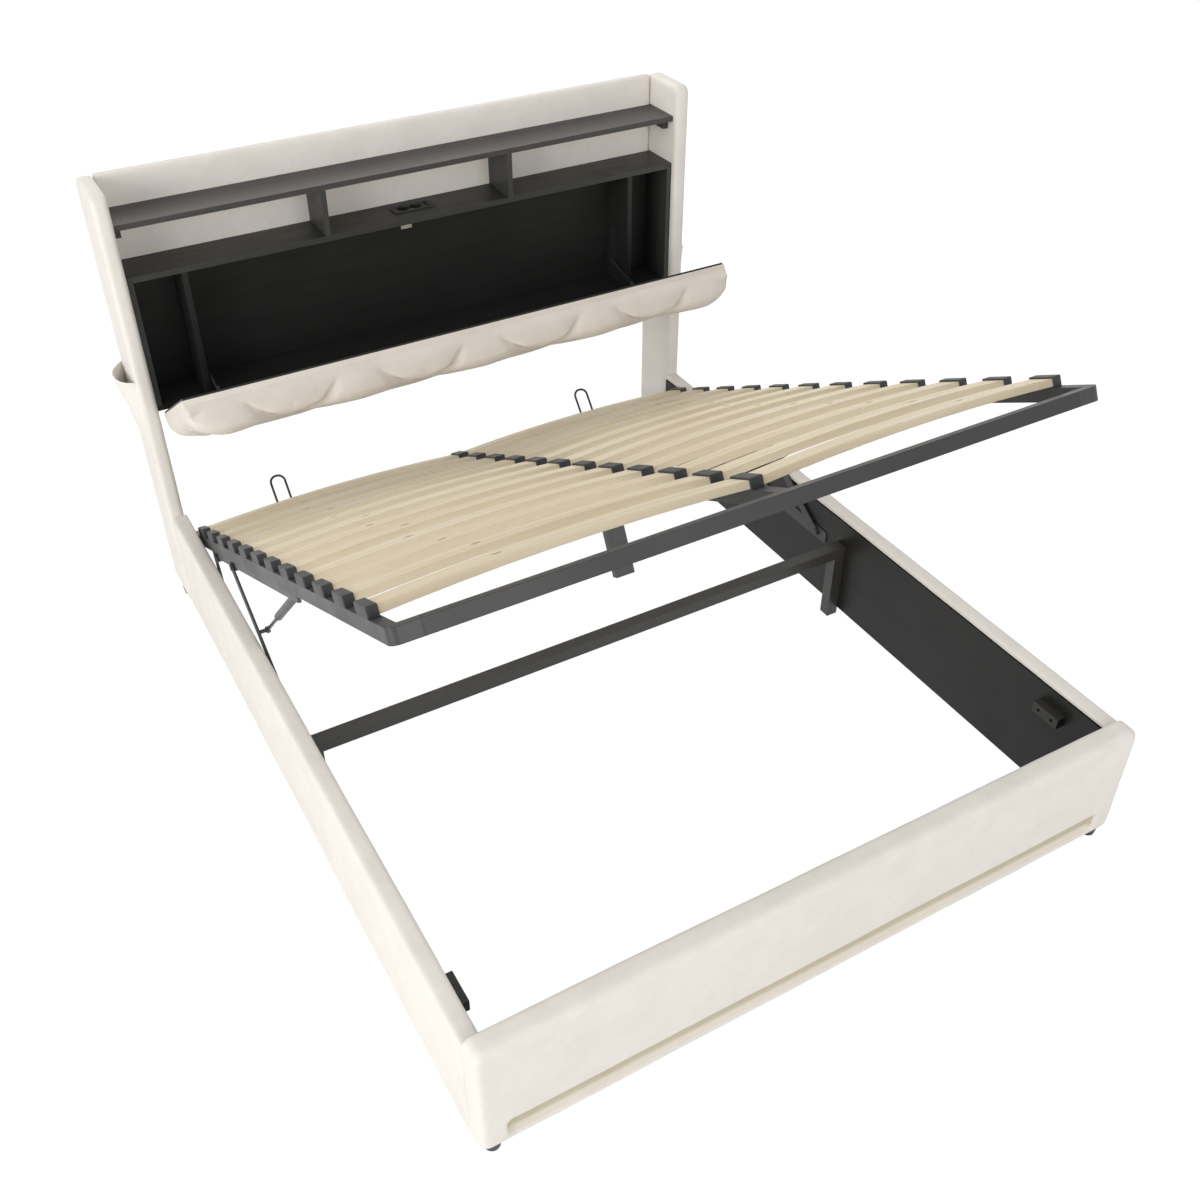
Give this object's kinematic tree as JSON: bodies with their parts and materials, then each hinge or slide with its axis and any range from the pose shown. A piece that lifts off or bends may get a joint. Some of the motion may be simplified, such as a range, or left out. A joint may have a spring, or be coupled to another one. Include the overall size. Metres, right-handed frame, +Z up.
{
  "type": "upholstered storage bed",
  "caption": "Fabric-covered double bed with a lift-up bowed-slat frame on gas struts over a storage well, and a headboard cabinet with shelves and a padded flap.",
  "frame": {"origin": "middle of the bed's base on the floor", "axes": "+Z up, +Y from the footboard to the headboard, +X to the right seen from the foot"},
  "size_m": [1.806, 2.172, 1.27],
  "materials": {
    "cover_fabric": "soft short-pile upholstery cloth, off-white",
    "dark_board": "charcoal laminated board",
    "grey_steel": "grey powder coat",
    "slat_wood": "pale bent plywood, clear lacquer",
    "black_plastic": "moulded black plastic",
    "strut_paint": "black painted tube",
    "bright_steel": "zinc-plated steel"
  },
  "bodies": {
    "base": {"foot_glides": "black_plastic", "footboard_board": "dark_board", "footboard_cover": "cover_fabric", "left_rail_board": "dark_board", "right_rail_board": "dark_board", "left_rail_cover": "cover_fabric", "right_rail_cover": "cover_fabric", "corner_bolts": "bright_steel", "left_wing": "cover_fabric", "right_wing": "cover_fabric", "headboard_back": "cover_fabric", "left_side_pocket": "cover_fabric", "right_side_pocket": "cover_fabric", "upper_shelf": "dark_board", "shelf_uprights": "dark_board", "shelf_brackets": "black_plastic", "cabinet_top": "dark_board", "cabinet_bottom": "dark_board", "cabinet_back": "dark_board", "left_cabinet_side": "dark_board", "right_cabinet_side": "dark_board", "left_cabinet_divider": "dark_board", "right_cabinet_divider": "dark_board", "socket_housing": "black_plastic", "socket_inserts": "black_plastic", "flap_catch": "bright_steel", "hinge_fixed_leaves": "bright_steel", "stay_tracks": "grey_steel", "rest_blocks": "black_plastic", "cross_bar": "grey_steel", "cross_bar_legs": "grey_steel", "left_mechanism_base": "grey_steel", "right_mechanism_base": "grey_steel"},
    "main_links": {"left_main_link": "grey_steel", "right_main_link": "grey_steel"},
    "rear_links": {"left_rear_link": "grey_steel", "right_rear_link": "grey_steel"},
    "lift_frame": {"left_side_tube": "grey_steel", "right_side_tube": "grey_steel", "foot_tube": "grey_steel", "head_tube": "grey_steel", "centre_tube": "grey_steel", "frame_corners": "black_plastic", "left_lift_bar": "grey_steel", "right_lift_bar": "grey_steel", "left_slat_holders": "black_plastic", "right_slat_holders": "black_plastic", "centre_slat_holders": "black_plastic", "left_slats": "slat_wood", "right_slats": "slat_wood", "centre_leg": "grey_steel", "mattress_stops": "grey_steel"},
    "strut_cylinders": {"strut_cylinders": "strut_paint"},
    "strut_rods": {"strut_rods": "bright_steel"},
    "flap": {"flap_board": "dark_board", "flap_cushion": "cover_fabric", "hinge_moving_leaves": "bright_steel", "stay_lugs": "grey_steel"},
    "stay_arms": {"stay_arms": "grey_steel"}
  },
  "joints": [
    {"name": "main_link_swing", "type": "hinge", "parent": "base", "child": "main_links", "pos_m": [0, 0.063, 0.22], "axis": [1, 0, 0], "range_deg": [-27.11, 0]},
    {"name": "frame_tilt", "type": "hinge", "parent": "main_links", "child": "lift_frame", "pos_m": [0, 0.43079, 0.45322], "axis": [1, 0, 0], "range_deg": [0, 54.13]},
    {"name": "rear_link_swing", "type": "hinge", "parent": "base", "child": "rear_links", "pos_m": [0, 0.59877, 0.22], "axis": [1, 0, 0], "range_deg": [-56.64, 0]},
    {"name": "strut_swing", "type": "hinge", "parent": "lift_frame", "child": "strut_cylinders", "pos_m": [0, -0.12073, 0.73648], "axis": [1, 0, 0], "range_deg": [0, 15.02]},
    {"name": "strut_stroke", "type": "slide", "parent": "strut_cylinders", "child": "strut_rods", "axis": [0, 0.712, -0.7022], "range_m": [-0.1184, 0]},
    {"name": "flap_fold", "type": "hinge", "parent": "base", "child": "flap", "pos_m": [0, 0.928, 0.6556], "axis": [1, 0, 0], "range_deg": [-58, 0]},
    {"name": "stay_swing", "type": "hinge", "parent": "flap", "child": "stay_arms", "pos_m": [0, 0.88877, 0.70605], "axis": [1, 0, 0], "range_deg": [0, 105.41]}
  ],
  "couplings": [
    {"joint": "frame_tilt", "follows": "main_link_swing", "ratio": -1.9959},
    {"joint": "rear_link_swing", "follows": "main_link_swing", "ratio": 2.0887},
    {"joint": "strut_swing", "follows": "main_link_swing", "ratio": -0.55366},
    {"joint": "strut_stroke", "follows": "main_link_swing", "m_per_rad": 0.24921},
    {"joint": "stay_swing", "follows": "flap_fold", "ratio": -1.8172}
  ]
}
